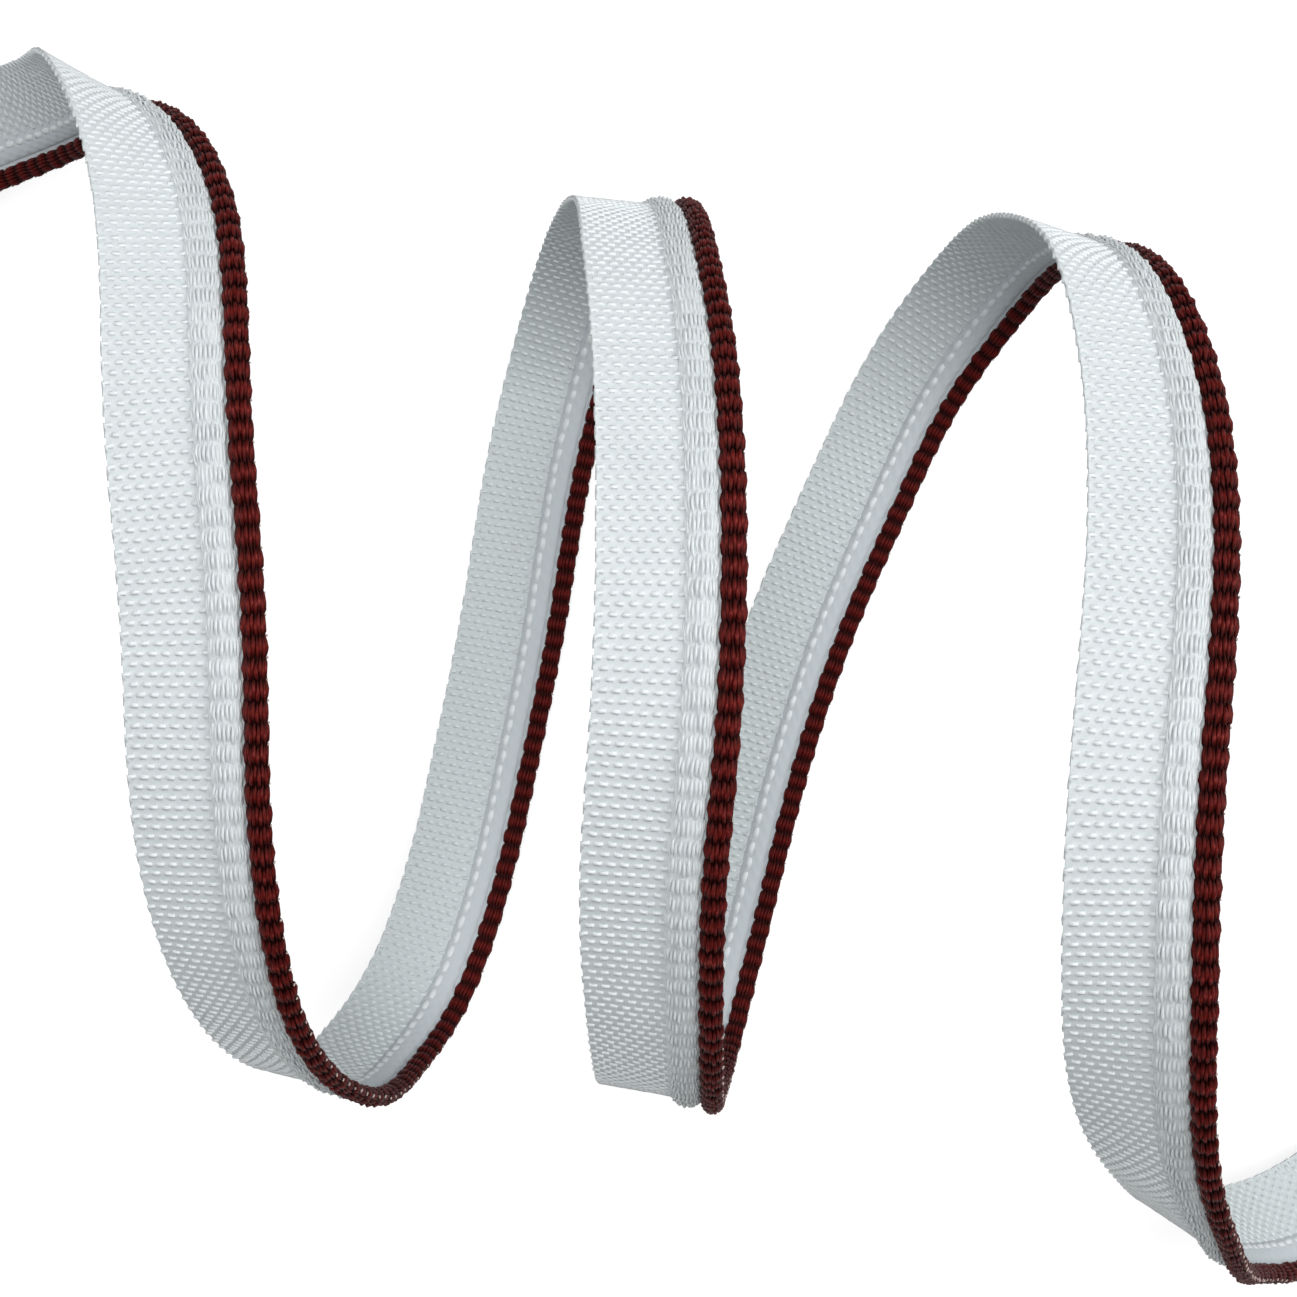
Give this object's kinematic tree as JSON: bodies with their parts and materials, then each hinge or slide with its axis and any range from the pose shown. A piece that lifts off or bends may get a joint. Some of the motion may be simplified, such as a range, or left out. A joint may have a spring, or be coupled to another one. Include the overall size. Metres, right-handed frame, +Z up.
{
  "type": "piping trim",
  "caption": "Woven flange piping trim with a padded white rib and a round burgundy edge, a cut length lying in loose standing loops.",
  "frame": {"origin": "centre of the bounding box in plan, at the table", "axes": "+Z up from the table, +X from the first loop to the last, +Y from the feet of the loops to their tops as seen from above"},
  "size_m": [0.2344, 0.1354, 0.08],
  "materials": {
    "white_cloth": "satin woven polyester, off-white",
    "burgundy_cloth": "satin woven polyester, burgundy"
  },
  "bodies": {
    "root": {"woven_tape": "white_cloth", "piping_edge": "burgundy_cloth"}
  },
  "joints": []
}
